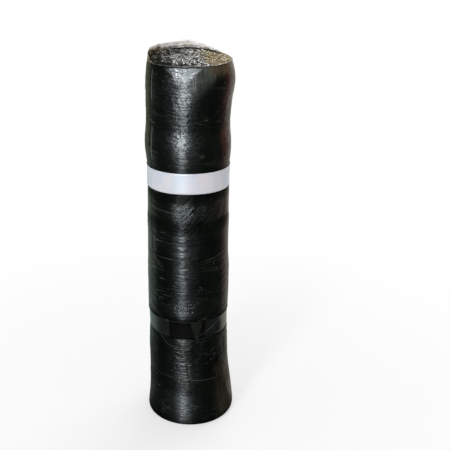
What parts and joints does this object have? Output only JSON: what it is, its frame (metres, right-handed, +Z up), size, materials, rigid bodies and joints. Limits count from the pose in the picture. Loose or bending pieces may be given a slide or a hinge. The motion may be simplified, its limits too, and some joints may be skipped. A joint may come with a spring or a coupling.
{
  "type": "roll of roofing felt",
  "caption": "Roll of bitumen roofing felt standing on its end, wound in dark stretch film with a plain pale band and a strip of adhesive tape round it.",
  "frame": {"origin": "centre of the circular face that the roll stands on, at floor level", "axes": "+Z up along the axis of the roll; the side seen in the picture looks along -Y, and +X is to the viewer's right"},
  "size_m": [0.236, 0.2359, 1.025],
  "materials": {
    "bitumen_felt": "matt black bitumen with fine mineral dusting on the cut edges of the sheet",
    "stretch_film": "tight clear polyethylene stretch film over black felt, glossy, with fine wrinkles",
    "printed_band": "plain white paper-backed band, slightly bluish, satin",
    "adhesive_tape": "dark polypropylene packing tape, smooth and glossy"
  },
  "bodies": {
    "root": {"felt_roll": "bitumen_felt", "film_wrap": "stretch_film", "label_band": "printed_band", "binding_tape": "adhesive_tape"}
  },
  "joints": []
}
